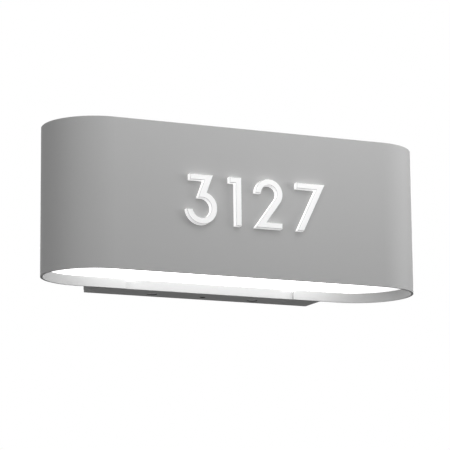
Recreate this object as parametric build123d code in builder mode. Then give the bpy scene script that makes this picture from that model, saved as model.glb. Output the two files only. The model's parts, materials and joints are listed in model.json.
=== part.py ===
from build123d import *

import math
import os

# House number light: an oblong painted hood on a shallow back box, open at its foot.
# The wall is the plane y = 0, the room lies towards -Y and +Z is up. The origin is the middle
# of the wall plate's back face, in front of the junction box. Lengths are in millimetres.

# Hood: a sleeve with half-round ends and a closed top
hood_length = 340.0
hood_depth = 90.0
hood_height = 127.0
hood_wall = 2.0
hood_top_bevel = 0.3
notch_width = 159.0
notch_corner = 3.0
notch_gap = 0.3

# Back box: a pan between the hood and the wall, as tall as the hood, with ground corners
box_length = 213.0
box_depth = 31.5
box_sheet = 1.5
box_edge = 0.3
weep_hole = 5.0

# Foam gasket between the back box's rim and the wall
gasket_thickness = 2.0
gasket_inset = 0.5
gasket_band = 10.0
gasket_corner = 3.0

# Numerals, pushed through windows in the hood's front and bonded to a backing panel
cap_height = 41.3
numeral_foot = 42.3
numeral_stand = 4.5
numeral_bevel = 0.4
stroke = 5.3
bar = 4.9
overshoot = 0.9
three_left = -62.3
three_radius = 13.9
three_bar_start = 3.2
three_bar_end = 24.2
three_tail = 11.3
neck = 5.8
neck_lean = 21.0
one_left = -23.0
one_flag = 5.4
two_left = 0.6
two_radius = 12.6
two_base = 24.8
seven_left = 39.1
seven_width = 26.6
seven_foot = 6.4
window_gap = 0.25
panel_thickness = 3.0
panel_margin = 8.0
panel_corner = 3.0

# Diffuser in the hood's mouth, with a tongue through the notch and a lug at each end of it
diffuser_rise = 8.6
diffuser_thickness = 3.0
seal_width = 1.5
seal_height = 5.0
lug_width = 7.0
lug_drop = 1.6
lug_root = 2.0
lug_gap = 0.4

# Light source on the shelf of a folded tray, whose back fills the notch
shelf_drop = 15.5
shelf_gap = 16.0
shelf_corner = 6.0
tray_bend = 1.5
pad_thickness = 0.5
pad_inset = 1.5
board_thickness = 1.6
board_margin = 9.0
board_corner = 3.0
chip_size = 3.0
chip_height = 0.6
chip_columns = 8
chip_rows = 2
chip_pitch = 13.0
chip_row_pitch = 22.0

# Wall plate, folded so that the back box hooks over its upper lip
plate_length = 150.0
plate_margin = 14.5
plate_sheet = 2.0
plate_bend = 1.0
flange_margin = 6.0
lip_height = 7.0
slot_spacing = 80.0
slot_length = 17.0
slot_width = 5.0
cable_hole = 30.0
hanger_length = 100.0
hanger_inset = 2.0
hanger_sheet = 2.0
hanger_gap = 0.3

# Driver, fixed by an ear at each end to the back box's front wall
driver_length = 116.0
driver_height = 28.0
driver_depth = 20.0
driver_bevel = 2.0
driver_gap = 3.0
ear_length = 10.0
ear_height = 14.0
ear_thickness = 2.5
ear_bevel = 3.0

# Terminal block, clipped into the wall plate
pole_count = 3
pole_pitch = 11.0
pole_well = 4.5
pole_well_depth = 7.0
terminal_end = 2.5
terminal_height = 18.0
terminal_depth = 15.0
terminal_rise = 6.0
terminal_bevel = 1.0
clip_length = 14.0
clip_height = 5.0
clip_gap = 0.3

# Rubber grommet where the leads pass through the back box and the tray
grommet_hole = 10.0
grommet_flange = 14.0
grommet_lip = 1.5
grommet_bore = 6.0
grommet_drop = 20.0

# Fixings
large_thread = 4.0
large_flats = 7.0
large_head_height = 2.8
nut_height = 3.2
small_thread = 3.0
small_flats = 5.5
small_head_height = 2.0
hole_gap = 0.15
tip_gap = 0.2
locking_spacing = 96.0
locking_from_wall = 14.0
locking_head = 8.0
locking_cone = 90.0
locking_recess = 0.6
locking_tip = 3.0
hood_screw_z = 0.0
tray_screw_inset = 8.2
tray_screw_rise = 38.0
earth_screw_place = 24.0
earth_screw_length = 7.0

# Heights
rim_z = -hood_height / 2
crown_z = hood_height / 2
diffuser_z = rim_z + diffuser_rise
shelf_z = crown_z - hood_wall - shelf_drop
board_top = shelf_z - hood_wall - pad_thickness
board_under = board_top - board_thickness
tray_foot = diffuser_z + diffuser_thickness + lug_gap
plate_half = hood_height / 2 - plate_margin
driver_z = plate_half - plate_sheet - driver_gap - driver_height / 2
driver_under = driver_z - driver_height / 2
grommet_z = driver_under - grommet_drop
terminal_z = -plate_half + plate_sheet + terminal_rise + terminal_height / 2
numeral_z = rim_z + numeral_foot

# Distances from the wall
hood_front = box_depth + hood_depth
hood_middle = box_depth + hood_depth / 2
front_inside = hood_front - hood_wall
back_inside = box_depth + hood_wall
box_inside = box_depth - box_sheet
flange_depth = locking_from_wall + flange_margin
shelf_front = front_inside - panel_thickness - shelf_gap
board_middle = (shelf_front + back_inside) / 2

# Lengths along the wall
tongue_width = notch_width - 2 * lug_gap
tray_width = notch_width - 2 * notch_corner
board_length = tray_width - 2 * board_margin
board_depth = shelf_front - back_inside - 2 * board_margin
panel_left = three_left - panel_margin
panel_right = seven_left + seven_width + panel_margin
hood_screw_place = (notch_width + box_length) / 4
terminal_length = pole_count * pole_pitch + 2 * terminal_end
ear_place = (driver_length + ear_length) / 2

# Radii of the holes round a thread and a sunk head
large_hole = large_thread / 2 + hole_gap
small_hole = small_thread / 2 + hole_gap
locking_sink = locking_head / 2 + locking_recess * math.tan(math.radians(locking_cone / 2)) + hole_gap

# Places of the fixings, as x and z on the wall or x and y in plan
tray_screw_place = tray_width / 2 - tray_screw_inset
tray_screw_spots = [(side * tray_screw_place, diffuser_z + tray_screw_rise) for side in (-1, 1)]
hood_screw_spots = [(side * hood_screw_place, hood_screw_z) for side in (-1, 1)]
ear_spots = [(side * ear_place, driver_z) for side in (-1, 1)]
locking_spots = [(side * locking_spacing / 2, -locking_from_wall) for side in (-1, 1)]
earth_spot = (earth_screw_place, -locking_from_wall)
lug_place = (tongue_width - lug_width) / 2
lug_depth = hood_wall + seal_width + lug_root - lug_gap
lug_y = -box_depth - lug_gap - lug_depth / 2
lug_spots = [(side * lug_place, lug_y) for side in (-1, 1)]


def from_wall(distance):
    """Plane parallel to the wall, with x and z of the model, facing the room."""
    return Plane.XZ.offset(distance)


def level(height):
    """Level plane, with x and y of the model, facing up."""
    return Plane.XY.offset(height)


def oblong(inset, mode=Mode.ADD):
    """The hood's plan outline, drawn in by inset all round."""
    with Locations((0, -hood_middle)):
        SlotOverall(hood_length - 2 * inset, hood_depth - 2 * inset, mode=mode)


def drill(plane, spots, radius, depth):
    """Cut round holes into the piece in hand, from plane along its normal."""
    with BuildSketch(plane) as holes:
        with Locations(*spots):
            Circle(radius)
    extrude(holes.sketch, amount=depth, mode=Mode.SUBTRACT)


def folded_sheet(corners, radii, sheet, width):
    """Sheet folded along X: corners run along one skin, with the thickness to their left."""
    with BuildPart() as folded:
        with BuildSketch(Plane.YZ.offset(-width / 2)):
            with BuildLine():
                FilletPolyline(*corners, radius=radii)
                offset(amount=sheet, side=Side.LEFT)
            make_face()
        extrude(amount=width)
    return folded.part


def hex_screw(thread, flats, head_height, length):
    """Screw along +Z, with the underside of its head at the origin."""
    with BuildPart() as made:
        with BuildSketch(level(-head_height)):
            RegularPolygon(flats / 2, side_count=6, major_radius=False)
        extrude(amount=head_height)
        with BuildSketch(level(0)):
            Circle(thread / 2)
        extrude(amount=length)
    return made.part


def countersunk_screw(thread, head, cone, length):
    """Screw along +Z, with the flat of its head at the origin."""
    cone_height = (head - thread) / 2 / math.tan(math.radians(cone / 2))
    with BuildPart() as made:
        with BuildSketch(Plane.XZ):
            with BuildLine():
                Polyline(
                    (0, 0),
                    (head / 2, 0),
                    (thread / 2, cone_height),
                    (thread / 2, length),
                    (0, length),
                    close=True,
                )
            make_face()
        revolve(axis=Axis.Z)
    return made.part


def hex_nut(thread, flats, height):
    """Nut along +Z, with its seat at the origin."""
    with BuildPart() as made:
        with BuildSketch(level(0)):
            RegularPolygon(flats / 2, side_count=6, major_radius=False)
            Circle(thread / 2 + hole_gap, mode=Mode.SUBTRACT)
        extrude(amount=height)
    return made.part


def numeral_three():
    """Flat-topped three: a bar, a leaning neck and a bowl that is open on the left."""
    inner = three_radius - stroke
    centre = (three_radius, three_radius - overshoot)
    waist = centre[1] + inner
    slope = math.tan(math.radians(neck_lean))
    neck_right = three_bar_end - slope * (cap_height - waist)
    neck_left = neck_right - neck / math.cos(math.radians(neck_lean))
    with BuildSketch() as outline:
        with Locations(centre):
            Circle(three_radius)
            Circle(inner, mode=Mode.SUBTRACT)
        with Locations((centre[0], three_tail)):
            Rectangle(three_radius, cap_height, align=(Align.MAX, Align.MIN), mode=Mode.SUBTRACT)
        with BuildLine():
            Polyline(
                (three_bar_start, cap_height),
                (three_bar_end, cap_height),
                (neck_right, waist),
                (neck_left, waist),
                (neck_left + slope * (cap_height - bar - waist), cap_height - bar),
                (three_bar_start, cap_height - bar),
                close=True,
            )
        make_face()
    return outline.sketch


def numeral_one():
    """A stem with a square flag."""
    with BuildSketch() as outline:
        with Locations((one_flag, 0)):
            Rectangle(stroke, cap_height, align=Align.MIN)
        with Locations((0, cap_height)):
            Rectangle(one_flag + stroke, bar, align=(Align.MIN, Align.MAX))
    return outline.sketch


def numeral_two():
    """A half-round hook whose leg runs straight to the foot's left corner."""
    inner = two_radius - stroke
    centre = Vector(two_radius, cap_height + overshoot - two_radius)
    lean = math.atan2(centre.Y, centre.X) - math.asin(inner / centre.length)
    touch = Vector(math.sin(lean), -math.cos(lean))
    leg_outer = centre + touch * two_radius
    leg_inner = centre + touch * inner
    leg_foot = leg_outer.X - (leg_outer.Y - bar) / math.tan(lean)
    with BuildSketch() as outline:
        with BuildLine():
            ThreePointArc((0, centre.Y), centre + Vector(0, two_radius), leg_outer)
            Polyline(leg_outer, (leg_foot, bar), (two_base, bar), (two_base, 0), (0, 0), leg_inner)
            ThreePointArc(leg_inner, centre + Vector(0, inner), (stroke, centre.Y))
            Line((stroke, centre.Y), (0, centre.Y))
        make_face()
    return outline.sketch


def numeral_seven():
    """A bar and a straight leaning leg."""
    slope = (seven_width - seven_foot) / cap_height
    foot_left = seven_foot - stroke * math.hypot(1, slope)
    under = cap_height - bar
    with BuildSketch() as outline:
        with BuildLine():
            Polyline(
                (0, cap_height),
                (seven_width, cap_height),
                (seven_foot, 0),
                (foot_left, 0),
                (foot_left + slope * under, under),
                (0, under),
                close=True,
            )
        make_face()
    return outline.sketch


# Each numeral's outline and the place of its left edge
numerals = {
    "numeral_three": (numeral_three(), three_left),
    "numeral_one": (numeral_one(), one_left),
    "numeral_two": (numeral_two(), two_left),
    "numeral_seven": (numeral_seven(), seven_left),
}

# Hood: sleeve and top in one, notched at the back and pierced for numerals and screws
with BuildPart() as hood:
    with BuildSketch(level(rim_z)):
        oblong(0)
    extrude(amount=hood_height)
    chamfer(hood.faces().sort_by(Axis.Z)[-1].edges(), hood_top_bevel)
    with BuildSketch(level(rim_z)):
        oblong(hood_wall)
    extrude(amount=hood_height - hood_wall, mode=Mode.SUBTRACT)
    with BuildSketch(from_wall(box_depth)) as notch:
        with Locations((0, rim_z)):
            Rectangle(notch_width, shelf_z + notch_gap - rim_z, align=(Align.CENTER, Align.MIN))
        fillet(notch.vertices().group_by(Axis.Y)[-1], notch_corner)
    extrude(amount=hood_wall, mode=Mode.SUBTRACT)
    with BuildSketch(from_wall(front_inside)):
        for outline, left in numerals.values():
            with Locations((left, numeral_z)):
                add(outline)
        offset(amount=window_gap, kind=Kind.INTERSECTION)
    extrude(amount=hood_wall, mode=Mode.SUBTRACT)
    drill(from_wall(box_depth), hood_screw_spots, large_hole, hood_wall)

# Backing panel behind the windows
with BuildPart() as numeral_panel:
    with BuildSketch(from_wall(front_inside)):
        with Locations(((panel_left + panel_right) / 2, numeral_z + cap_height / 2)):
            RectangleRounded(panel_right - panel_left, cap_height + 2 * panel_margin, panel_corner)
    extrude(amount=-panel_thickness)

# Diffuser plate: a tongue reaches back through the notch, with a lug under each end
with BuildPart() as diffuser:
    with BuildSketch(level(diffuser_z)):
        oblong(hood_wall + seal_width)
        with Locations((0, lug_y)):
            Rectangle(tongue_width, lug_depth)
    extrude(amount=diffuser_thickness)
    with BuildSketch(level(diffuser_z - lug_drop)):
        with Locations(*lug_spots):
            Rectangle(lug_width, lug_depth)
    extrude(amount=lug_drop)

# Silicone strip between the diffuser and the hood, open where the tongue passes
with BuildPart() as diffuser_seal:
    with BuildSketch(level(diffuser_z)):
        oblong(hood_wall)
        oblong(hood_wall + seal_width, mode=Mode.SUBTRACT)
        with Locations((0, lug_y)):
            Rectangle(notch_width, lug_depth, mode=Mode.SUBTRACT)
    extrude(amount=seal_height)

# Back box: pan open towards the wall
with BuildPart() as back_box:
    with BuildSketch(from_wall(gasket_thickness)):
        Rectangle(box_length, hood_height)
    extrude(amount=box_depth - gasket_thickness)
    chamfer(back_box.faces().sort_by(Axis.Y)[0].edges(), box_edge)
    with BuildSketch(from_wall(gasket_thickness)):
        Rectangle(box_length - 2 * box_sheet, hood_height - 2 * box_sheet)
    extrude(amount=box_inside - gasket_thickness, mode=Mode.SUBTRACT)
    drill(from_wall(box_inside), hood_screw_spots, large_hole, box_sheet)
    drill(from_wall(box_inside), tray_screw_spots, large_hole, box_sheet)
    drill(from_wall(box_inside), ear_spots, small_hole, box_sheet)
    drill(from_wall(box_inside), [(0, grommet_z)], grommet_hole / 2, box_sheet)
    drill(level(rim_z), [(0, -locking_from_wall)], weep_hole / 2, box_sheet)
    with Locations(*[Location((x, y, rim_z), (180, 0, 0)) for x, y in locking_spots]):
        CounterSinkHole(large_hole, locking_sink, box_sheet, locking_cone)

# Foam ring on the back box's rim
with BuildPart() as wall_gasket:
    with BuildSketch(from_wall(0)):
        RectangleRounded(box_length - 2 * gasket_inset, hood_height - 2 * gasket_inset, gasket_corner)
        offset(amount=-gasket_band, mode=Mode.SUBTRACT)
    extrude(amount=gasket_thickness)

# Wall plate: lower flange for the locking screws, upper flange with an upturned lip
with BuildPart() as wall_plate:
    lip_back = flange_depth - plate_sheet
    add(
        folded_sheet(
            [
                (-flange_depth, -plate_half),
                (0, -plate_half),
                (0, plate_half),
                (-lip_back, plate_half),
                (-lip_back, plate_half + lip_height),
            ],
            [plate_bend + plate_sheet, plate_bend + plate_sheet, plate_bend],
            plate_sheet,
            plate_length,
        )
    )
    with BuildSketch(from_wall(0)):
        with GridLocations(slot_spacing, 0, 2, 1):
            SlotOverall(slot_length, slot_width)
        Circle(cable_hole / 2)
        with Locations((0, terminal_z)):
            Rectangle(clip_length + 2 * clip_gap, clip_height + 2 * clip_gap)
    extrude(amount=plate_sheet, mode=Mode.SUBTRACT)
    drill(level(-plate_half), locking_spots + [earth_spot], large_hole, plate_sheet)

# Hanger: angle welded under the back box's top, whose leg drops behind the plate's lip
with BuildPart() as hanger_bracket:
    hanger_back = lip_back - hanger_gap - hanger_sheet
    hanger_top = crown_z - box_sheet
    add(
        folded_sheet(
            [
                (-hanger_back, plate_half + plate_bend),
                (-hanger_back, hanger_top),
                (hanger_inset - box_inside, hanger_top),
            ],
            [plate_bend + hanger_sheet],
            hanger_sheet,
            hanger_length,
        )
    )

# Tray: its sheet is as thick as the hood's wall, so its back lies flush in the notch, over the tongue
with BuildPart() as led_tray:
    add(
        folded_sheet(
            [(-box_depth, tray_foot), (-box_depth, shelf_z), (-shelf_front, shelf_z)],
            [tray_bend + hood_wall],
            hood_wall,
            tray_width,
        )
    )
    fillet(led_tray.edges().filter_by(Axis.Z).group_by(Axis.Y)[0], shelf_corner)
    drill(from_wall(box_depth), tray_screw_spots, large_hole, hood_wall)
    drill(from_wall(box_depth), [(0, grommet_z)], grommet_hole / 2, hood_wall)

# Adhesive pad that holds the board up to the shelf and takes its heat there
with BuildPart() as thermal_pad:
    with BuildSketch(level(board_top)):
        with Locations((0, -board_middle)):
            Rectangle(board_length - 2 * pad_inset, board_depth - 2 * pad_inset)
    extrude(amount=pad_thickness)

# Circuit board, face down
with BuildPart() as led_board:
    with BuildSketch(level(board_under)):
        with Locations((0, -board_middle)):
            RectangleRounded(board_length, board_depth, board_corner)
    extrude(amount=board_thickness)

# Light emitters on the board's lower face
with BuildPart() as led_chips:
    with BuildSketch(level(board_under)):
        with Locations((0, -board_middle)):
            with GridLocations(chip_pitch, chip_row_pitch, chip_columns, chip_rows):
                Rectangle(chip_size, chip_size)
    extrude(amount=-chip_height)

# Screws and nuts through the back box's front wall, heads in the box
clamped = box_sheet + hood_wall
fixing_length = clamped + nut_height
with BuildPart(from_wall(box_inside)) as tray_screws:
    with Locations(*tray_screw_spots):
        add(hex_screw(large_thread, large_flats, large_head_height, fixing_length))

with BuildPart(from_wall(back_inside)) as tray_nuts:
    with Locations(*tray_screw_spots):
        add(hex_nut(large_thread, large_flats, nut_height))

with BuildPart(from_wall(box_inside)) as hood_screws:
    with Locations(*hood_screw_spots):
        add(hex_screw(large_thread, large_flats, large_head_height, fixing_length))

with BuildPart(from_wall(back_inside)) as hood_nuts:
    with Locations(*hood_screw_spots):
        add(hex_nut(large_thread, large_flats, nut_height))

# Driver: a potted case with an ear at each end
with BuildPart() as driver:
    with BuildSketch(from_wall(box_inside)):
        with Locations((0, driver_z)):
            Rectangle(driver_length, driver_height)
    extrude(amount=-driver_depth)
    chamfer(driver.faces().sort_by(Axis.Y)[-1].edges(), driver_bevel)
    with BuildSketch(from_wall(box_inside)) as ears:
        with Locations((0, driver_z)):
            Rectangle(driver_length + 2 * ear_length, ear_height)
        chamfer(ears.vertices(), ear_bevel)
    extrude(amount=-ear_thickness)
    drill(from_wall(box_inside - ear_thickness), ear_spots, small_hole, ear_thickness)

with BuildPart(from_wall(box_inside - ear_thickness)) as driver_screws:
    with Locations(*ear_spots):
        add(hex_screw(small_thread, small_flats, small_head_height, ear_thickness + box_sheet - tip_gap))

# Terminal block: square wire wells above and below, screw wells in front, a clip behind
pole_places = [(pole - (pole_count - 1) / 2) * pole_pitch for pole in range(pole_count)]
terminal_under = terminal_z - terminal_height / 2
terminal_face = plate_sheet + terminal_depth
wire_line = plate_sheet + terminal_depth / 2
with BuildPart() as terminal_block:
    with BuildSketch(from_wall(plate_sheet)):
        with Locations((0, terminal_z)):
            Rectangle(terminal_length, terminal_height)
    extrude(amount=terminal_depth)
    chamfer(terminal_block.faces().sort_by(Axis.Y)[0].edges(), terminal_bevel)
    for well_z in (terminal_under, terminal_under + terminal_height - pole_well_depth):
        with BuildSketch(level(well_z)):
            with Locations(*[(x, -wire_line) for x in pole_places]):
                Rectangle(pole_well, pole_well)
        extrude(amount=pole_well_depth, mode=Mode.SUBTRACT)
    screw_wells = [(x, terminal_z) for x in pole_places]
    drill(from_wall(terminal_face - pole_well_depth), screw_wells, pole_well / 2, pole_well_depth)
    with BuildSketch(from_wall(plate_sheet)):
        with Locations((0, terminal_z)):
            Rectangle(clip_length, clip_height)
    extrude(amount=tip_gap - plate_sheet)

# Earth screw, from above into the wall plate's lower flange
with BuildPart() as earth_screw:
    with Locations(Location((*earth_spot, plate_sheet - plate_half), (180, 0, 0))):
        add(hex_screw(large_thread, large_flats, large_head_height, earth_screw_length))

# Locking screws, sunk in the back box's underside and threaded into the same flange
locking_length = plate_margin + plate_sheet + locking_tip - locking_recess
with BuildPart() as locking_screws:
    with Locations(*[(x, y, rim_z + locking_recess) for x, y in locking_spots]):
        add(countersunk_screw(large_thread, locking_head, locking_cone, locking_length))

# Grommet, pushed in from the back box: a flange and a sleeve through both sheets
with BuildPart() as lead_grommet:
    with BuildSketch(from_wall(box_inside - grommet_lip)):
        with Locations((0, grommet_z)):
            Circle(grommet_flange / 2)
    extrude(amount=grommet_lip)
    with BuildSketch(from_wall(box_inside)):
        with Locations((0, grommet_z)):
            Circle(grommet_hole / 2)
    extrude(amount=clamped)
    drill(from_wall(box_inside - grommet_lip), [(0, grommet_z)], grommet_bore / 2, grommet_lip + clamped)

pieces = {
    "hood": hood.part,
    "numeral_panel": numeral_panel.part,
    "diffuser": diffuser.part,
    "diffuser_seal": diffuser_seal.part,
    "back_box": back_box.part,
    "wall_gasket": wall_gasket.part,
    "wall_plate": wall_plate.part,
    "hanger_bracket": hanger_bracket.part,
    "led_tray": led_tray.part,
    "thermal_pad": thermal_pad.part,
    "led_board": led_board.part,
    "led_chips": led_chips.part,
    "tray_screws": tray_screws.part,
    "tray_nuts": tray_nuts.part,
    "hood_screws": hood_screws.part,
    "hood_nuts": hood_nuts.part,
    "driver": driver.part,
    "driver_screws": driver_screws.part,
    "terminal_block": terminal_block.part,
    "earth_screw": earth_screw.part,
    "locking_screws": locking_screws.part,
    "lead_grommet": lead_grommet.part,
}

# Numerals, through the wall and proud of it
for name, (outline, left) in numerals.items():
    with BuildPart() as numeral:
        with BuildSketch(from_wall(front_inside)):
            with Locations((left, numeral_z)):
                add(outline)
        extrude(amount=hood_wall + numeral_stand)
        chamfer(numeral.faces().sort_by(Axis.Y)[0].edges(), numeral_bevel)
    pieces[name] = numeral.part

os.makedirs("parts", exist_ok=True)
for name, piece in pieces.items():
    piece.label = name
    export_step(piece, f"parts/{name}.step")
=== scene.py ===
# %% [markdown]
# # A house number light, dressed and photographed
#
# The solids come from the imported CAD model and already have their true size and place. This lesson gives
# each of them its finish, adds the small forms that a solid model leaves plain, and lights and frames the
# result like a product picture. Lengths are in metres and +Z is up. The wall is the plane y = 0, and the
# room lies towards -Y.

import json
import math

import bpy
from mathutils import Matrix, Vector


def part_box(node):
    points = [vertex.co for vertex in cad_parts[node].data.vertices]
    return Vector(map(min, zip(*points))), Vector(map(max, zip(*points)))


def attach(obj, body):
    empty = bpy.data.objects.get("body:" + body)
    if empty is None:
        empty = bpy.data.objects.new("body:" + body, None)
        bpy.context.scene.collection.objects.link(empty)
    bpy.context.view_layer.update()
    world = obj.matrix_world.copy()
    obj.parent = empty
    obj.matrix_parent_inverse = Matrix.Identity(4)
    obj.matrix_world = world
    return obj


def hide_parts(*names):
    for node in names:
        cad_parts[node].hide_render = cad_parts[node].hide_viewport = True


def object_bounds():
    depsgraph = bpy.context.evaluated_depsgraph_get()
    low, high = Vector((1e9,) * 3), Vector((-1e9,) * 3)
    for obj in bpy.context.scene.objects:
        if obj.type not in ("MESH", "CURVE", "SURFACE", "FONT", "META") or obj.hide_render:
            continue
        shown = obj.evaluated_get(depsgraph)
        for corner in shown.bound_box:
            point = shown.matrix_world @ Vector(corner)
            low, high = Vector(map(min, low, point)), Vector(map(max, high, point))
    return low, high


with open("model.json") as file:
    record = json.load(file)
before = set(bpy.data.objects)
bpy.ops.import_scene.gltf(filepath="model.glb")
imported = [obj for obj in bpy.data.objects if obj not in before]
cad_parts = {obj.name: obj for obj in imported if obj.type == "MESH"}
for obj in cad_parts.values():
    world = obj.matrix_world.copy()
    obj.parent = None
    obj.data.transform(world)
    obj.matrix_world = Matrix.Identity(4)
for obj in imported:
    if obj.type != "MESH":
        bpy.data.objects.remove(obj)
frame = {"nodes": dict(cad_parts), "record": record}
cad_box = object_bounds()
scene = bpy.context.scene
MM = 0.001
print(f"{len(frame['nodes'])} solids, from {tuple(cad_box[0])} to {tuple(cad_box[1])}")

# %% [markdown]
# ## Camera
#
# The picture looks at the light from the left and from below, which is what shows its lit underside. A
# camera can be moved by hand until the picture looks right, or its place can be worked out. Here it was
# solved from the hood's own straight edges and half-round ends, so it is a few plain numbers: a place, a
# turn to the right, a tilt upwards and a slight lean. A long lens far away keeps the edges nearly parallel.

# %% Place the camera
IMAGE_SIDE = 450
FOCAL_PIXELS = 2246.6
camera_place = Vector((-777.3, -1798.7, -386.9)) * MM
camera_turn = math.radians(24.135)
camera_tilt = math.radians(11.275)
camera_lean = math.radians(-0.536)

lens = bpy.data.cameras.new("product_camera")
lens.sensor_width = 36.0
lens.lens = FOCAL_PIXELS * lens.sensor_width / IMAGE_SIDE
camera = bpy.data.objects.new("product_camera", lens)
scene.collection.objects.link(camera)
camera.matrix_world = (
    Matrix.Translation(camera_place)
    @ Matrix.Rotation(-camera_turn, 4, "Z")
    @ Matrix.Rotation(math.pi / 2 + camera_tilt, 4, "X")
    @ Matrix.Rotation(camera_lean, 4, "Z")
)
scene.camera = camera
print(f"camera with a {lens.lens:.1f} mm lens, {camera_place.length:.2f} m from the wall plate")

# %% [markdown]
# ## A short way to write node trees
#
# Much of a node tree is sums on numbers that change over a surface. Wired by hand, one sum takes several
# lines, so a small class holds one output socket and lets Python's own operators add the Math nodes. Every
# other kind of node comes from one method: its settings go in first, because they decide which sockets it
# has. A colour is three numbers, and one helper runs from a colour to another by a mask.


# %% The socket class
class Wire:
    """One output socket of a node tree, or the bare tree where no socket is given."""

    def __init__(self, tree, socket=None):
        self.tree = tree
        self.socket = socket

    def node(self, kind, settings, sockets):
        """Add a node, set it up, then fill its sockets by name or number. Gives its first output."""
        made = self.tree.nodes.new(kind)
        for name, value in settings.items():
            setattr(made, name, value)
        shown = [socket for socket in made.inputs if socket.enabled]
        for key, value in sockets.items():
            socket = shown[key] if isinstance(key, int) else next(s for s in shown if s.name == key)
            if isinstance(value, (Wire, list)):
                for wire in value if isinstance(value, list) else [value]:
                    self.tree.links.new(wire.socket, socket)
            else:
                socket.default_value = value
        given = [socket for socket in made.outputs if socket.enabled]
        return Wire(self.tree, given[0] if given else None)

    def other(self, name):
        """Another output of the same node."""
        return Wire(self.tree, self.socket.node.outputs[name])

    def calculate(self, operation, *values):
        """One Math node."""
        return self.node("ShaderNodeMath", {"operation": operation}, dict(enumerate(values)))

    def __add__(self, value):
        return self.calculate("ADD", self, value)

    def __radd__(self, value):
        return self.calculate("ADD", value, self)

    def __sub__(self, value):
        return self.calculate("SUBTRACT", self, value)

    def __rsub__(self, value):
        return self.calculate("SUBTRACT", value, self)

    def __mul__(self, value):
        return self.calculate("MULTIPLY", self, value)

    def __rmul__(self, value):
        return self.calculate("MULTIPLY", value, self)

    def __truediv__(self, value):
        return self.calculate("DIVIDE", self, value)

    def __rtruediv__(self, value):
        return self.calculate("DIVIDE", value, self)

    def __neg__(self):
        return self.calculate("SUBTRACT", 0, self)

    def __abs__(self):
        return self.calculate("ABSOLUTE", self)

    def __gt__(self, value):
        return self.calculate("GREATER_THAN", self, value)

    def __lt__(self, value):
        return self.calculate("LESS_THAN", self, value)

    def ease(self, start, end):
        """0 before start, 1 after end, with a smooth step between them."""
        settings = {"interpolation_type": "SMOOTHSTEP"}
        return self.node("ShaderNodeMapRange", settings, {"Value": self, "From Min": start, "From Max": end})


print("Wire is ready")

# %% Colours
BLACK = (0, 0, 0)
WHITE = (1, 1, 1)


def grey(level):
    return (level, level, level)


def shade(mask, dark, light):
    """Colour that runs from dark, where mask is 0, to light, where it is 1. Both are colours or wires."""
    ends = [end if isinstance(end, Wire) else (*end, 1) for end in (dark, light)]
    return mask.node("ShaderNodeMix", {"data_type": "RGBA"}, {"Factor": mask, "A": ends[0], "B": ends[1]})


print("shades run from", BLACK, "to", WHITE)

# %% [markdown]
# ## Studio
#
# The light hangs in front of plain white. A white world could do all the lighting, but then no side would
# be darker than another. So the world is white only where it is looked at, straight or in a reflection, and
# lamps light the object. They are large and soft: four at the sides shape the half-round ends, two near
# ones above the front let it fade downwards, and one behind serves the views of the back. The floor lies
# far below, and it is pale in the same way as the world, so that it doesn't brighten the underside.

# %% White surroundings
room_light = 0.01

world = bpy.data.worlds.new("white_studio")
scene.world = world
world.use_nodes = True
world.node_tree.nodes.clear()


def seen_rays(tree):
    """1 where a surface is looked at, straight or in a reflection, and 0 where it lights other things."""
    path = Wire(tree).node("ShaderNodeLightPath", {}, {})
    seen = path.calculate("MAXIMUM", path.other("Is Camera Ray"), path.other("Is Glossy Ray"))
    return seen.calculate("MAXIMUM", seen, path.other("Is Transmission Ray"))


strength = room_light + (1 - room_light) * seen_rays(world.node_tree)
backdrop = strength.node("ShaderNodeBackground", {}, {"Color": (*WHITE, 1), "Strength": strength})
backdrop.node("ShaderNodeOutputWorld", {}, {"Surface": backdrop})
print(f"room light {room_light}")

# %% Soft lamps
# Each row is a lamp's name, its place, the side of its square and its power in watts.
LAMPS = [
    ("key_right", (1.5, -0.9, 0.05), 0.6, 9.7),
    ("fill_left", (-1.0, -1.4, 0.2), 0.8, 7.6),
    ("edge_left", (-1.45, -0.75, 0.1), 0.8, 4.0),
    ("edge_right", (1.4, -0.1, 0.35), 0.5, 3.3),
    ("near_right", (0.22, -0.42, 0.28), 0.4, 1.0),
    ("near_left", (-0.10, -0.40, 0.35), 0.4, 0.76),
    ("back", (0.5, 0.95, 0.3), 0.8, 5.0),
]
middle = (cad_box[0] + cad_box[1]) / 2
for name, place, side, power in LAMPS:
    lamp = bpy.data.lights.new(name, "AREA")
    lamp.shape = "SQUARE"
    lamp.size = side
    lamp.energy = power
    holder = bpy.data.objects.new(name, lamp)
    holder.location = place
    holder.rotation_mode = "QUATERNION"
    holder.rotation_quaternion = (middle - Vector(place)).to_track_quat("-Z", "Y")
    holder.visible_camera = False
    scene.collection.objects.link(holder)
print(f"{len(LAMPS)} lamps")

# %% Pale floor
floor_height = -2.6
floor_half = 20.0
paper_grey = 0.8
paper_roughness = 0.8
paper_white = 0.55

floor_mesh = bpy.data.meshes.new("floor")
signs = ((-1, -1), (1, -1), (1, 1), (-1, 1))
corners = [(x * floor_half, y * floor_half, floor_height) for x, y in signs]
floor_mesh.from_pydata(corners, [], [(0, 1, 2, 3)])
floor = bpy.data.objects.new("floor", floor_mesh)
scene.collection.objects.link(floor)
floor_paper = bpy.data.materials.new("floor_paper")
floor_paper.use_nodes = True
shader = floor_paper.node_tree.nodes["Principled BSDF"]
shader.inputs["Base Color"].default_value = (*grey(paper_grey), 1)
shader.inputs["Roughness"].default_value = paper_roughness
shader.inputs["Emission Strength"].default_value = paper_white
pale = shade(seen_rays(floor_paper.node_tree), dark=BLACK, light=WHITE)
floor_paper.node_tree.links.new(pale.socket, shader.inputs["Emission Color"])
floor_mesh.materials.append(floor_paper)
print(f"floor {-floor_height / MM:.0f} mm below the wall plate's middle")

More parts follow.
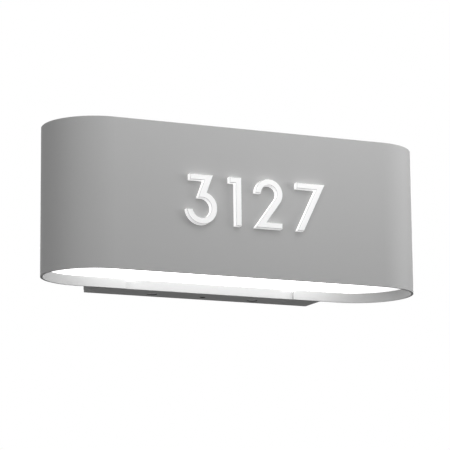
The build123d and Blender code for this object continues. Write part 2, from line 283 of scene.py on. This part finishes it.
# %% [markdown]
# ## Finishes
#
# Each finish is one material. Pictures of surfaces could be wrapped round the solids, but they blur close
# up and need unwrapping. Noise that is worked out from the place on the object needs neither. Object
# coordinates are real metres here, so a grain can be given its true size. What is the same all over a
# surface is a plain number on the shader, and only what changes over it gets nodes.


# %% Helpers for finishes
def new_finish(name, **constants):
    """A new material, its shader with the constants set, and its place on the surface in metres."""
    material = bpy.data.materials.new(name)
    material.use_nodes = True
    shader = material.node_tree.nodes["Principled BSDF"]
    for key, value in constants.items():
        shader.inputs[key.replace("_", " ")].default_value = value
    place = Wire(material.node_tree).node("ShaderNodeTexCoord", {}, {}).other("Object")
    return material, shader, place


def feed(shader, **wires):
    """Link what changes over the surface to the shader."""
    for key, wire in wires.items():
        wire.tree.links.new(wire.socket, shader.inputs[key.replace("_", " ")])


def grain(place, size, detail=2.0, stretch=(1, 1, 1)):
    """Noise from 0 to 1 whose blotches are about size metres across, or longer along a stretched axis."""
    scale = tuple(1 / (size * along) for along in stretch)
    spread = place.node("ShaderNodeMapping", {}, {"Vector": place, "Scale": scale})
    return place.node("ShaderNodeTexNoise", {}, {"Vector": spread, "Scale": 1.0, "Detail": detail})


def axes(place):
    """The three coordinates of a place."""
    split = place.node("ShaderNodeSeparateXYZ", {}, {"Vector": place})
    return [split.other(axis) for axis in "XYZ"]


finishes = {}
print("finishes start empty")

# %% [markdown]
# ### Silver-grey powder coat
#
# The hood and the back box are painted sheet. Baked powder levels out to a satin skin with a fine orange
# peel, and a little of its pigment shows as lighter flecks. Peel and flecks are two noises of different
# size: one moves the surface by a few thousandths of a millimetre, and the other the tone by a few per
# cent. The weep hole and the countersinks round the locking screws lie in shade, and that shade is
# painted: they get a near-black colour. They could be faces with a material of their own, but a solid has
# one material here. So the painted shade goes where a point of the underside lies within a hole's radius
# of its axis.

# %% Painted shade in the holes
screw_low, screw_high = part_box("locking_screws")
head_radius = (screw_high.y - screw_low.y) / 2
screw_place = screw_high.x - head_radius
screw_from_wall = (screw_low.y + screw_high.y) / 2
sink_radius = head_radius + 0.74 * MM
sink_depth = 2 * MM
weep_radius = 2.6 * MM


def in_circle(across, along, radius):
    """1 where two distances from an axis lie within a circle round it."""
    offset = across.node("ShaderNodeCombineXYZ", {}, {"X": across, "Y": along})
    return offset.node("ShaderNodeVectorMath", {"operation": "LENGTH"}, {0: offset}) < radius


def painted_hole_shade(place):
    """1 in the countersinks and the weep hole of the underside, where shade is painted."""
    x, y, z = axes(place)
    countersinks = in_circle(abs(x) - screw_place, y - screw_from_wall, sink_radius)
    weep_hole = in_circle(x, y - screw_from_wall, weep_radius)
    return (countersinks + weep_hole) * (z < screw_low.z + sink_depth)


print(f"countersinks {screw_place / MM:.1f} mm left and right of the weep hole")


# %% Powder coat
def relief(height, depth):
    """Bump of that depth in metres."""
    return height.node("ShaderNodeBump", {}, {"Strength": 1.0, "Distance": depth, "Height": height})


# Painted shade: a near-black tone for the countersinks and the weep hole.
hole_shade = grey(0.05)

powder_coat, shader, place = new_finish("silver_powder_coat", Specular_IOR_Level=0.25)
peel = grain(place, size=1.2 * MM)
flecks = grain(place, size=0.35 * MM, detail=1.0)
paint = shade(flecks, dark=grey(0.40), light=grey(0.44))
feed(
    shader,
    Base_Color=shade(painted_hole_shade(place), paint, hole_shade),
    Roughness=0.46 + 0.08 * peel,
    Normal=relief(peel, depth=0.006 * MM),
)
finishes["hood_paint"] = powder_coat
painted = [row["node"] for row in frame["record"]["subparts"] if row["material_slot"] == "hood_paint"]
print("powder coat on", painted)

# %% [markdown]
# ### White acrylic numerals
#
# The numerals are cut from white acrylic and pushed through the front. Light from inside the hood creeps
# out of their sides, which stay bright where the lamps don't reach, while the face is nearly plain white.
# Light that really passes through plastic is slow to render and noisy, so here it is painted light: the
# sides glow a little by themselves, the face faintly, and the glow also lights the paint round them. They
# are told from the face by how far they lie from the wall. The broken edge between the two has no glow
# and gets painted shade: it is greyer, which draws a fine line round each face.

# %% Numeral acrylic
numeral_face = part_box("numeral_one")[0].y
face_skin = 0.05 * MM
edge_depth = 0.38 * MM
# Painted light on the sides and the face, and painted shade on the broken edge between them.
side_glow = 0.50
face_glow = 0.09
edge_shade = grey(0.55)

acrylic, shader, place = new_finish("white_acrylic", Emission_Strength=1.0)
from_wall = axes(place)[1]
face = from_wall < numeral_face + face_skin
sides = from_wall > numeral_face + edge_depth
cloud = grain(place, size=6 * MM)
white = shade(cloud, dark=grey(0.88), light=grey(0.91))
feed(
    shader,
    Base_Color=shade(face + sides, edge_shade, white),
    Roughness=0.31 + 0.08 * cloud,
    Emission_Color=shade(face_glow * face + side_glow * sides, dark=BLACK, light=WHITE),
)
finishes["numeral_acrylic"] = acrylic
print(f"numeral faces at y = {numeral_face / MM:.1f} mm")

# %% [markdown]
# ### Opal diffuser and its seal
#
# The light source sits above the middle of the mouth, so the opal plate is brightest there and falls off
# towards its half-round ends. Real opal scatters the light of the emitters behind it. Here the plate is a
# lamp of its own, which lights the inside of the rim just as well. Its upper face stays dark, so that its
# light goes down into the mouth and not up into the hood. The white silicone round it is no lamp, but it
# glows with the same fall: painted light for the light it passes on.

# %% Fall of the light
plate_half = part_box("diffuser")[1].x
plate_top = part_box("diffuser")[1].z
end_share = 0.12
glow_middle = -4 * MM
fall_start = 0.5 * plate_half
fall_end = 1.15 * plate_half
lit_below = plate_top - 1.5 * MM
dark_above = plate_top - 0.1 * MM


def glow(place):
    """White that fades along the mouth towards its half-round ends, and upwards through the plate."""
    x, _, z = axes(place)
    fall = 1 - (1 - end_share) * abs(x - glow_middle).ease(fall_start, fall_end)
    below = 1 - z.ease(lit_below, dark_above)
    return shade(fall * below, dark=BLACK, light=WHITE)


print(f"glow falls from {fall_start / MM:.0f} mm to {fall_end / MM:.0f} mm, down to {end_share:.0%}")

# %% Diffuser and seal
plate_light = 3.5
seal_light = 4.0

opal, shader, place = new_finish("opal_diffuser", Emission_Strength=plate_light)
frost = grain(place, size=0.5 * MM)
feed(
    shader,
    Base_Color=shade(frost, dark=grey(0.93), light=grey(0.96)),
    Roughness=0.42 + 0.16 * frost,
    Emission_Color=glow(place),
)
finishes["opal_diffuser"] = opal

# The seal's glow is painted light.
silicone, shader, place = new_finish("white_silicone", Roughness=0.6, Emission_Strength=seal_light)
dust = grain(place, size=1.5 * MM)
feed(
    shader,
    Base_Color=shade(dust, dark=(0.80, 0.80, 0.79), light=(0.87, 0.87, 0.86)),
    Emission_Color=glow(place),
)
finishes["seal_silicone"] = silicone
print(f"diffuser {2 * plate_half / MM:.0f} mm long, with its seal")

# %% [markdown]
# ### Foam, rubber and plastics
#
# The wall gasket is foam, the grommet rubber, the thermal pad filled silicone, and the driver, the
# terminal block and the panel behind the numerals are plastic. All are matt and plain, but none is
# perfectly even: foam has cells, moulded plastic has a spark-eroded grain and rubber a bloom. The cells
# could be cut as real dents, which would cost thousands of faces on a piece that is pressed to the wall.
# A Voronoi texture draws cells, and the rest is noise of the right size.


# %% Foam and rubber
def cells(place, size):
    """Distance from the middle of cells that are about size metres across."""
    return place.node("ShaderNodeTexVoronoi", {}, {"Vector": place, "Scale": 1 / size})


foam, shader, place = new_finish("closed_cell_foam", Roughness=0.95, Specular_IOR_Level=0.2)
bubbles = cells(place, size=0.9 * MM)
feed(
    shader,
    Base_Color=shade(bubbles, dark=(0.035, 0.035, 0.038), light=(0.075, 0.075, 0.080)),
    Normal=relief(1 - bubbles, depth=0.15 * MM),
)
finishes["gasket_foam"] = foam

rubber, shader, place = new_finish("black_rubber", Roughness=0.75)
bloom = grain(place, size=2.0 * MM)
feed(shader, Base_Color=shade(bloom, dark=grey(0.022), light=grey(0.045)))
finishes["grommet_rubber"] = rubber

pad, shader, place = new_finish("thermal_pad", Roughness=0.85)
filler = grain(place, size=0.4 * MM)
feed(shader, Base_Color=shade(filler, dark=(0.34, 0.36, 0.39), light=(0.46, 0.48, 0.50)))
finishes["thermal_pad"] = pad
print("foam, rubber and pad")

# %% Moulded and sheet plastics
moulded_case, shader, place = new_finish("black_moulded_case", Specular_IOR_Level=0.35)
spark = grain(place, size=0.5 * MM)
feed(
    shader,
    Base_Color=shade(spark, dark=(0.042, 0.042, 0.046), light=(0.060, 0.060, 0.065)),
    Roughness=0.55 + 0.2 * spark,
    Normal=relief(spark, depth=0.02 * MM),
)
finishes["driver_case"] = moulded_case

nylon, shader, place = new_finish("natural_nylon", Roughness=0.5)
milk = grain(place, size=5 * MM)
feed(shader, Base_Color=shade(milk, dark=(0.79, 0.79, 0.76), light=(0.84, 0.84, 0.82)))
finishes["terminal_nylon"] = nylon

panel, shader, place = new_finish("opal_sheet", Roughness=0.45)
haze = grain(place, size=8 * MM)
feed(shader, Base_Color=shade(haze, dark=(0.88, 0.88, 0.86), light=(0.91, 0.91, 0.89)))
finishes["panel_acrylic"] = panel
print("case, nylon and panel")

# %% [markdown]
# ### Bare metals
#
# The wall plate is zinc-plated steel, the tray mill-finish aluminium, and the screws plated steel. Zinc
# shows faint crystals, rolled aluminium fine lines along the roll, and screws a soft scatter. All three
# could share one grey metal, but then only their shapes would tell them apart. On a metal the colour is the
# colour of its reflections, so most of the change goes into the roughness.

# %% Zinc, aluminium and screw steel
zinc, shader, place = new_finish("zinc_plate", Metallic=1.0)
spangle = cells(place, size=6.25 * MM).other("Color")
crystal = place.node("ShaderNodeSeparateColor", {}, {"Color": spangle})
feed(
    shader,
    Base_Color=shade(crystal, dark=(0.56, 0.57, 0.58), light=(0.66, 0.67, 0.68)),
    Roughness=0.34 + 0.14 * crystal,
)
finishes["zinc_plate"] = zinc

mill, shader, place = new_finish("mill_aluminium", Metallic=1.0)
lines = grain(place, size=0.4 * MM, detail=3.0, stretch=(60, 1, 1))
feed(
    shader,
    Base_Color=shade(lines, dark=(0.74, 0.74, 0.75), light=(0.84, 0.84, 0.85)),
    Roughness=0.28 + 0.16 * lines,
)
finishes["tray_aluminium"] = mill

steel, shader, place = new_finish("plated_steel", Metallic=1.0)
scatter = grain(place, size=0.6 * MM)
feed(
    shader,
    Base_Color=shade(scatter, dark=(0.50, 0.50, 0.51), light=(0.60, 0.60, 0.61)),
    Roughness=0.30 + 0.15 * scatter,
)
finishes["screw_steel"] = steel
print("zinc, aluminium and screw steel")

# %% [markdown]
# ### Light source
#
# Each emitter is a white package with a yellow window of phosphor, and the board under it is white solder
# mask. The windows could be small plates laid on the packages. But the emitters stand on a grid, so each
# window can be drawn from its place on the grid: take the distance to the nearest emitter's centre, and
# where both parts of it are small there is phosphor.

# %% Emitters
chip_low, chip_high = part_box("led_chips")
chip_size = 3.0 * MM
chip_columns = 8
window_half = 1.1 * MM
pitch_x = (chip_high.x - chip_low.x - chip_size) / (chip_columns - 1)
pitch_y = chip_high.y - chip_low.y - chip_size


def to_centre(along, first, pitch):
    """Distance along one axis to the nearest emitter's centre."""
    start = along - (first - pitch / 2)
    return abs(start.calculate("FLOORED_MODULO", start, pitch) - pitch / 2)


chips, shader, place = new_finish("emitter_package", Roughness=0.35)
x, y, _ = axes(place)
to_x = to_centre(x, chip_low.x + chip_size / 2, pitch_x)
to_y = to_centre(y, chip_low.y + chip_size / 2, pitch_y)
window = to_x.calculate("MAXIMUM", to_x, to_y) < window_half
feed(shader, Base_Color=shade(window, dark=(0.86, 0.86, 0.85), light=(0.90, 0.72, 0.20)))
finishes["chip_phosphor"] = chips
print(f"emitters {pitch_x / MM:.1f} mm apart along the board and {pitch_y / MM:.1f} mm across it")

# %% Board
solder_mask, shader, place = new_finish("white_solder_mask", Roughness=0.4)
weave = grain(place, size=0.8 * MM, stretch=(3, 1, 1))
feed(
    shader,
    Base_Color=shade(weave, dark=(0.85, 0.86, 0.85), light=(0.90, 0.91, 0.90)),
    Normal=relief(weave, depth=0.01 * MM),
)
finishes["board_white"] = solder_mask
print("white board under the emitters")

# %% [markdown]
# ### Dressing the solids
#
# Every finish is ready, and each solid is still bare. They could be picked and dressed one by one, but the
# record already says which finish each of them has, so one loop gives them out and misses none.

# %% Give every solid its finish
for subpart in frame["record"]["subparts"]:
    mesh = frame["nodes"][subpart["node"]].data
    mesh.materials.clear()
    mesh.materials.append(finishes[subpart["material_slot"]])

# %% [markdown]
# ## Screws and nuts
#
# Machine screws hold the light together. In the solids they are plain prisms on plain rods. On a real hex
# head a cone has turned the corners off, and the rod carries a thread. Each could be modelled by hand, but
# they repeat, so Geometry Nodes make them: a tree draws one screw from its named sizes and sets copies of
# it out along a line. What it makes is then kept as a plain mesh. Where a plain solid stood for it, the
# mesh takes that solid's place.

# %% Start and end of a tree
LAYOUT = {"First": "Vector", "Step": "Vector", "Turn": "Vector", "Count": "Int", "Finish": "Material"}


def start_tree(name, *sizes):
    """A new tree with a named input for each size and for the layout. Gives a wire for each of them."""
    tree = bpy.data.node_groups.new(name, "GeometryNodeTree")
    kinds = {size: "Float" for size in sizes} | LAYOUT
    for title, kind in kinds.items():
        tree.interface.new_socket(title, in_out="INPUT", socket_type="NodeSocket" + kind)
    tree.interface.new_socket("Geometry", in_out="OUTPUT", socket_type="NodeSocketGeometry")
    entry = Wire(tree).node("NodeGroupInput", {}, {})
    return {title: entry.other(title) for title in kinds}


def end_tree(shape, given):
    """Set copies of the shape out along a line, make them real and give them their finish."""
    sockets = {"Count": given["Count"], "Start Location": given["First"], "Offset": given["Step"]}
    line = shape.node("GeometryNodeMeshLine", {"mode": "OFFSET"}, sockets)
    sockets = {"Points": line, "Instance": shape, "Rotation": given["Turn"]}
    copies = shape.node("GeometryNodeInstanceOnPoints", {}, sockets)
    real = shape.node("GeometryNodeRealizeInstances", {}, {"Geometry": copies})
    dressed = shape.node("GeometryNodeSetMaterial", {}, {"Geometry": real, "Material": given["Finish"]})
    shape.node("NodeGroupOutput", {}, {"Geometry": dressed})
    return shape.tree


print("layout inputs", list(LAYOUT))

# %% From a tree to a piece
SHARP_ANGLE = math.radians(35)


def make_piece(name, tree, slot, **values):
    """Run a tree with these inputs, and keep what it makes as a plain mesh that rides on the light."""
    piece = bpy.data.objects.new(name, bpy.data.meshes.new(name))
    scene.collection.objects.link(piece)
    modifier = piece.modifiers.new(name, "NODES")
    modifier.node_group = tree
    values["Finish"] = finishes[slot]
    for item in tree.interface.items_tree:
        if item.in_out == "INPUT":
            modifier[item.identifier] = values[item.name.replace(" ", "_")]
    evaluated = piece.evaluated_get(bpy.context.evaluated_depsgraph_get())
    mesh = bpy.data.meshes.new_from_object(evaluated)
    piece.modifiers.remove(modifier)
    piece.data = mesh
    # The tree can leave an empty slot in front of the finish.
    while mesh.materials[0] is None:
        mesh.materials.pop(index=0)
    mesh.shade_smooth()
    mesh.set_sharp_from_angle(angle=SHARP_ANGLE)
    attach(piece, "root")
    print(f"{name}: {len(mesh.polygons)} faces")
    return piece


print(f"edges of more than {math.degrees(SHARP_ANGLE):.0f} degrees stay sharp")

# %% [markdown]
# ### Hex heads, threads and nuts
#
# These hold the hood, the tray, the driver and the earth wire. Everything is drawn on the Z axis, with the
# head's seat at zero and the rod below it. The corners of a hex head could be trimmed facet by facet. A
# prism that is cut by a wide cone gets the same curved chamfers without any drawing: the chamfer slopes by
# 30 degrees, so the cone gets wider by its height over the tangent of 30 degrees. A true thread is cut into
# the rod, but a ridge wound round a thinner rod looks the same and can't fail as a cut can. A nut is the
# same prism between two cones, with a bore.

# %% Hex block
CROWN = 0.475
CHAMFER = 1 / math.tan(math.radians(30))
ROUND = 48


def moved(shape, place):
    """The shape, shifted along the screw's axis."""
    along = shape.node("ShaderNodeCombineXYZ", {}, {"Z": place})
    return shape.node("GeometryNodeTransform", {}, {"Geometry": shape, "Translation": along})


def common(*shapes):
    """What all the shapes share."""
    settings = {"operation": "INTERSECT", "solver": "EXACT"}
    return shapes[0].node("GeometryNodeMeshBoolean", settings, {"Mesh": list(shapes)})


def hex_block(flats, height):
    """Hexagonal prism, centred on zero, and the pointed cone that turns its upper corners off."""
    draw = Wire(flats.tree)
    sockets = {"Vertices": 6, "Radius": flats / math.sqrt(3), "Depth": height}
    prism = draw.node("GeometryNodeMeshCylinder", {}, sockets)
    # The cone stands one height below the prism, and is as wide as the crown at the prism's top.
    depth = CROWN * flats / CHAMFER + 2 * height
    sockets = {"Vertices": ROUND, "Radius Top": 0.0, "Radius Bottom": CHAMFER * depth, "Depth": depth}
    cone = draw.node("GeometryNodeMeshCone", {}, sockets)
    return prism, moved(cone, -1.5 * height)


print(f"the cone widens by {CHAMFER:.2f} of its height")

# %% Threaded rod
ROD_SIDES = 24
TURN_STEPS = 16
RIDGE = 0.3
RIDGE_SIDES = 6


def joined(*shapes):
    """All the shapes as one."""
    return shapes[0].node("GeometryNodeJoinGeometry", {}, {"Geometry": list(shapes)})


def threaded_rod(thread, pitch, length):
    """Rod from zero downwards, with a ridge wound round it."""
    draw = Wire(thread.tree)
    ridge = RIDGE * pitch
    core = thread / 2 - ridge
    sockets = {"Vertices": ROD_SIDES, "Radius": core, "Depth": length}
    rod = draw.node("GeometryNodeMeshCylinder", {}, sockets)
    wound_length = length - pitch
    sockets = {
        "Resolution": TURN_STEPS,
        "Rotations": wound_length / pitch,
        "Start Radius": core,
        "End Radius": core,
        "Height": wound_length,
    }
    spiral = draw.node("GeometryNodeCurveSpiral", {}, sockets)
    sockets = {"Resolution": RIDGE_SIDES, "Radius": ridge}
    profile = draw.node("GeometryNodeCurvePrimitiveCircle", {"mode": "RADIUS"}, sockets)
    sockets = {"Curve": spiral, "Profile Curve": profile, "Fill Caps": True}
    wound = draw.node("GeometryNodeCurveToMesh", {}, sockets)
    return joined(moved(rod, length / -2), moved(wound, pitch / 2 - length))


print(f"the ridge of a thread has a radius of {RIDGE:.0%} of the pitch")

# %% Hex screws
given = start_tree("hex_screws", "Flats", "Head Height", "Thread", "Pitch", "Length")
head = moved(common(*hex_block(given["Flats"], given["Head Height"])), given["Head Height"] / 2)
rod = threaded_rod(given["Thread"], given["Pitch"], given["Length"])
hex_screws = end_tree(joined(head, rod), given)
print("hex screw tree of", len(hex_screws.nodes), "nodes")

# %% Hex screws in place
COARSE_PITCH = {3: 0.5 * MM, 4: 0.7 * MM}
# Each screw's thread in millimetres, and the height of its head.
HEADS_TO_WALL = {"hood_screws": (4, 2.8 * MM), "tray_screws": (4, 2.8 * MM), "driver_screws": (3, 2.0 * MM)}


def hex_pair(low, high, seat, turn):
    """Width across flats, and the layout of two hexagons, one at each end of a node's box."""
    flats = high.z - low.z
    corner = flats / math.sqrt(3)
    return {
        "Flats": flats,
        "First": Vector((low.x + corner, seat, (low.z + high.z) / 2)),
        "Step": Vector((high.x - low.x - 2 * corner, 0, 0)),
        "Turn": Vector((turn, 0, 0)),
        "Count": 2,
    }


for node, (thread, head_height) in HEADS_TO_WALL.items():
    low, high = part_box(node)
    screws = make_piece(
        "threaded_" + node,
        hex_screws,
        "screw_steel",
        Head_Height=head_height,
        Thread=thread * MM,
        Pitch=COARSE_PITCH[thread],
        Length=high.y - low.y - head_height,
        **hex_pair(low, high, seat=high.y - head_height, turn=-math.pi / 2),
    )
    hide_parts(node)

# %% Earth screw in place
low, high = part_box("earth_screw")
earth_thread = 4
earth_head = 2.8 * MM
earth = make_piece(
    "threaded_earth_screw",
    hex_screws,
    "screw_steel",
    Flats=high.y - low.y,
    Head_Height=earth_head,
    Thread=earth_thread * MM,
    Pitch=COARSE_PITCH[earth_thread],
    Length=high.z - low.z - earth_head,
    First=Vector(((low.x + high.x) / 2, (low.y + high.y) / 2, high.z - earth_head)),
    Step=Vector((0, 0, 0)),
    Turn=Vector((0, 0, 0)),
    Count=1,
)
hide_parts("earth_screw")


# %% Hex nuts
def cut(shape, *tools):
    """The shape without the tools."""
    settings = {"operation": "DIFFERENCE", "solver": "EXACT"}
    return shape.node("GeometryNodeMeshBoolean", settings, {"Mesh 1": shape, "Mesh 2": list(tools)})


given = start_tree("hex_nuts", "Flats", "Height", "Bore")
prism, cone = hex_block(given["Flats"], given["Height"])
other_cone = cone.node("GeometryNodeTransform", {}, {"Geometry": cone, "Rotation": (math.pi, 0, 0)})
sockets = {"Vertices": ROD_SIDES, "Radius": given["Bore"] / 2, "Depth": 2 * given["Height"]}
bore = prism.node("GeometryNodeMeshCylinder", {}, sockets)
hex_nuts = end_tree(cut(common(prism, cone, other_cone), bore), given)
print("hex nut tree of", len(hex_nuts.nodes), "nodes")

# %% Hex nuts in place
nut_bore = 4.3 * MM
for node in ("hood_nuts", "tray_nuts"):
    low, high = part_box(node)
    nuts = make_piece(
        "chamfered_" + node,
        hex_nuts,
        "screw_steel",
        Height=high.y - low.y,
        Bore=nut_bore,
        **hex_pair(low, high, seat=(low.y + high.y) / 2, turn=math.pi / 2),
    )
    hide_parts(node)

# %% [markdown]
# ### Sunk and slotted heads
#
# Two countersunk screws lock the back box to the wall plate from below, and three slotted ones clamp the
# supply wires in the terminal block. A turned shape could come from a revolved profile. A cone does it in
# one node here, with bars cut out of its flat top: two crossed bars are a cross recess, and one bar is a
# slot. The top is at zero, and the head and rod lie below it.

# %% Driven heads
DRIVE = ("Head", "Foot", "Head Height", "Slot", "Cross", "Slot Width", "Slot Depth")


def driven_head(given):
    """Turned head from the Head diameter on top to the Foot diameter, with one slot or a cross in it."""
    draw = Wire(given["Head"].tree)
    height = given["Head Height"]
    sockets = {
        "Vertices": ROUND,
        "Radius Top": given["Head"] / 2,
        "Radius Bottom": given["Foot"] / 2,
        "Depth": height,
    }
    turned = draw.node("GeometryNodeMeshCone", {}, sockets)
    bars = []
    for length, width in (("Slot", "Slot Width"), ("Slot Width", "Cross")):
        sockets = {"X": given[length], "Y": given[width], "Z": 2 * given["Slot Depth"]}
        size = draw.node("ShaderNodeCombineXYZ", {}, sockets)
        bars.append(draw.node("GeometryNodeMeshCube", {}, {"Size": size}))
    return cut(moved(turned, -height), *bars)


given = start_tree("sunk_screws", *DRIVE, "Thread", "Pitch", "Rod Length")
rod = threaded_rod(given["Thread"], given["Pitch"], given["Rod Length"])
sunk_screws = end_tree(joined(driven_head(given), moved(rod, -given["Head Height"])), given)

given = start_tree("clamp_screws", *DRIVE)
clamp_screws = end_tree(driven_head(given), given)
print("sunk screw tree of", len(sunk_screws.nodes), "nodes, clamp screw tree of", len(clamp_screws.nodes))

# %% Locking screws in place
low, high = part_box("locking_screws")
head_width = high.y - low.y
locking_thread = 4
cone_height = (head_width - locking_thread * MM) / 2
recess_length = 4.6 * MM
recess_width = 1.0 * MM
recess_depth = 1.4 * MM
locking = make_piece(
    "crossed_locking_screws",
    sunk_screws,
    "screw_steel",
    Head=head_width,
    Foot=locking_thread * MM,
    Head_Height=cone_height,
    Slot=recess_length,
    Cross=recess_length,
    Slot_Width=recess_width,
    Slot_Depth=recess_depth,
    Thread=locking_thread * MM,
    Pitch=COARSE_PITCH[locking_thread],
    Rod_Length=high.z - low.z - cone_height,
    First=Vector((low.x + head_width / 2, (low.y + high.y) / 2, low.z)),
    Step=Vector((high.x - low.x - head_width, 0, 0)),
    Turn=Vector((math.pi, 0, 0)),
    Count=2,
)
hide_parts("locking_screws")

# %% Clamp screws in place
low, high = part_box("terminal_block")
poles = 3
pole_pitch = 11 * MM
first_pole = -pole_pitch * (poles - 1) / 2
well_depth = 7 * MM
clamp_head = 4.2 * MM
clamp_height = 3 * MM
clamp_slot = 0.8 * MM
clamp_slot_depth = 1.2 * MM
make_piece(
    "slotted_clamp_screws",
    clamp_screws,
    "screw_steel",
    Head=clamp_head,
    Foot=clamp_head,
    Head_Height=clamp_height,
    Slot=2 * clamp_head,
    Cross=clamp_slot,
    Slot_Width=clamp_slot,
    Slot_Depth=clamp_slot_depth,
    First=Vector((first_pole, low.y + well_depth - clamp_height, (low.z + high.z) / 2)),
    Step=Vector((pole_pitch, 0, 0)),
    Turn=Vector((math.pi / 2, 0, 0)),
    Count=poles,
)

# %% [markdown]
# ## Finish
#
# The picture is shown with the Standard view transform.

# %% Finish
scene.view_settings.view_transform = "Standard"
